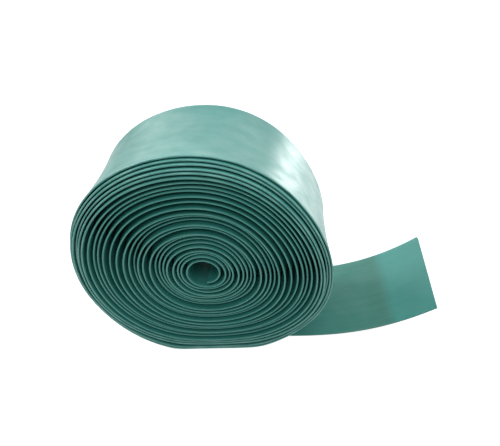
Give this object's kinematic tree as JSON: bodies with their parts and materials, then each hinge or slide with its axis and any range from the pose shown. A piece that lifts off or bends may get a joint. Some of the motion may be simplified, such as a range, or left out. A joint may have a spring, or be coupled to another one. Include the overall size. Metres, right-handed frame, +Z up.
{
  "type": "flat-wound irrigation hose roll",
  "caption": "Coreless roll of flat-wound irrigation hose, standing on its rim with its free end leading out along the floor and curling up.",
  "frame": {"origin": "on the floor, under the middle of the eye, at half the width of the roll", "axes": "+Z up; Y along the roll's axis with -Y towards the near face; +X along the free end, away from the roll"},
  "size_m": [0.2749, 0.0964, 0.1784],
  "materials": {
    "hose_wall": "satin"
  },
  "bodies": {
    "outer_turn": {"turn_26": "hose_wall", "lead_out": "hose_wall"},
    "turns_24_25": {"turn_24": "hose_wall", "turn_25": "hose_wall"},
    "turns_22_23": {"turn_22": "hose_wall", "turn_23": "hose_wall"},
    "turns_20_21": {"turn_20": "hose_wall", "turn_21": "hose_wall"},
    "turns_18_19": {"turn_18": "hose_wall", "turn_19": "hose_wall"},
    "turns_16_17": {"turn_16": "hose_wall", "turn_17": "hose_wall"},
    "turns_14_15": {"turn_14": "hose_wall", "turn_15": "hose_wall"},
    "turns_12_13": {"turn_12": "hose_wall", "turn_13": "hose_wall"},
    "turns_10_11": {"turn_10": "hose_wall", "turn_11": "hose_wall"},
    "turns_08_09": {"turn_08": "hose_wall", "turn_09": "hose_wall"},
    "turns_06_07": {"turn_06": "hose_wall", "turn_07": "hose_wall"},
    "turns_04_05": {"turn_04": "hose_wall", "turn_05": "hose_wall"},
    "turns_02_03": {"turn_02": "hose_wall", "turn_03": "hose_wall"},
    "turn_01": {"turn_01": "hose_wall"},
    "inner_end": {"inner_end": "hose_wall"},
    "tail_1": {"tail_1": "hose_wall"},
    "tail_2": {"tail_2": "hose_wall"},
    "tail_3": {"tail_3": "hose_wall"},
    "tail_4": {"tail_4": "hose_wall"}
  },
  "joints": [
    {"name": "turns_slide_01", "type": "slide", "parent": "outer_turn", "child": "turns_24_25", "axis": [0, -1, 0], "range_m": [-0.0015, 0.0015]},
    {"name": "turns_slide_02", "type": "slide", "parent": "turns_24_25", "child": "turns_22_23", "axis": [0, -1, 0], "range_m": [-0.0015, 0.0015]},
    {"name": "turns_slide_03", "type": "slide", "parent": "turns_22_23", "child": "turns_20_21", "axis": [0, -1, 0], "range_m": [-0.0015, 0.0015]},
    {"name": "turns_slide_04", "type": "slide", "parent": "turns_20_21", "child": "turns_18_19", "axis": [0, -1, 0], "range_m": [-0.0015, 0.0015]},
    {"name": "turns_slide_05", "type": "slide", "parent": "turns_18_19", "child": "turns_16_17", "axis": [0, -1, 0], "range_m": [-0.0015, 0.0015]},
    {"name": "turns_slide_06", "type": "slide", "parent": "turns_16_17", "child": "turns_14_15", "axis": [0, -1, 0], "range_m": [-0.0015, 0.0015]},
    {"name": "turns_slide_07", "type": "slide", "parent": "turns_14_15", "child": "turns_12_13", "axis": [0, -1, 0], "range_m": [-0.0015, 0.0015]},
    {"name": "turns_slide_08", "type": "slide", "parent": "turns_12_13", "child": "turns_10_11", "axis": [0, -1, 0], "range_m": [-0.0015, 0.0015]},
    {"name": "turns_slide_09", "type": "slide", "parent": "turns_10_11", "child": "turns_08_09", "axis": [0, -1, 0], "range_m": [-0.0015, 0.0015]},
    {"name": "turns_slide_10", "type": "slide", "parent": "turns_08_09", "child": "turns_06_07", "axis": [0, -1, 0], "range_m": [-0.0015, 0.0015]},
    {"name": "turns_slide_11", "type": "slide", "parent": "turns_06_07", "child": "turns_04_05", "axis": [0, -1, 0], "range_m": [-0.0015, 0.0015]},
    {"name": "turns_slide_12", "type": "slide", "parent": "turns_04_05", "child": "turns_02_03", "axis": [0, -1, 0], "range_m": [-0.0015, 0.0015]},
    {"name": "turns_slide_13", "type": "slide", "parent": "turns_02_03", "child": "turn_01", "axis": [0, -1, 0], "range_m": [-0.0015, 0.0015]},
    {"name": "tail_curl_1", "type": "hinge", "parent": "outer_turn", "child": "tail_1", "pos_m": [0.094, 0.01232, 0.00261], "axis": [0, -1, 0], "range_deg": [-8, 24], "stiffness_Nm_per_rad": 0.05, "springref_deg": 5.07},
    {"name": "tail_curl_2", "type": "hinge", "parent": "tail_1", "child": "tail_2", "pos_m": [0.114, 0.01178, 0.00635], "axis": [0, -1, 0], "range_deg": [-8, 24], "stiffness_Nm_per_rad": 0.05, "springref_deg": 2.9},
    {"name": "tail_curl_3", "type": "hinge", "parent": "tail_2", "child": "tail_3", "pos_m": [0.134, 0.01124, 0.0126], "axis": [0, -1, 0], "range_deg": [-8, 24], "stiffness_Nm_per_rad": 0.05, "springref_deg": 1.31},
    {"name": "tail_curl_4", "type": "hinge", "parent": "tail_3", "child": "tail_4", "pos_m": [0.154, 0.0107, 0.02169], "axis": [0, -1, 0], "range_deg": [-8, 24], "stiffness_Nm_per_rad": 0.05, "springref_deg": 0.33},
    {"name": "inner_end_lift", "type": "hinge", "parent": "turn_01", "child": "inner_end", "pos_m": [0.01064, 0, 0.0882], "axis": [0, 1, 0], "range_deg": [0, 25], "stiffness_Nm_per_rad": 0.004}
  ],
  "couplings": [
    {"joint": "turns_slide_02", "follows": "turns_slide_01", "ratio": 1},
    {"joint": "turns_slide_03", "follows": "turns_slide_01", "ratio": 1},
    {"joint": "turns_slide_04", "follows": "turns_slide_01", "ratio": 1},
    {"joint": "turns_slide_05", "follows": "turns_slide_01", "ratio": 1},
    {"joint": "turns_slide_06", "follows": "turns_slide_01", "ratio": 1},
    {"joint": "turns_slide_07", "follows": "turns_slide_01", "ratio": 1},
    {"joint": "turns_slide_08", "follows": "turns_slide_01", "ratio": 1},
    {"joint": "turns_slide_09", "follows": "turns_slide_01", "ratio": 1},
    {"joint": "turns_slide_10", "follows": "turns_slide_01", "ratio": 1},
    {"joint": "turns_slide_11", "follows": "turns_slide_01", "ratio": 1},
    {"joint": "turns_slide_12", "follows": "turns_slide_01", "ratio": 1},
    {"joint": "turns_slide_13", "follows": "turns_slide_01", "ratio": 1},
    {"joint": "tail_curl_2", "follows": "tail_curl_1", "ratio": 1},
    {"joint": "tail_curl_3", "follows": "tail_curl_1", "ratio": 1},
    {"joint": "tail_curl_4", "follows": "tail_curl_1", "ratio": 1}
  ]
}
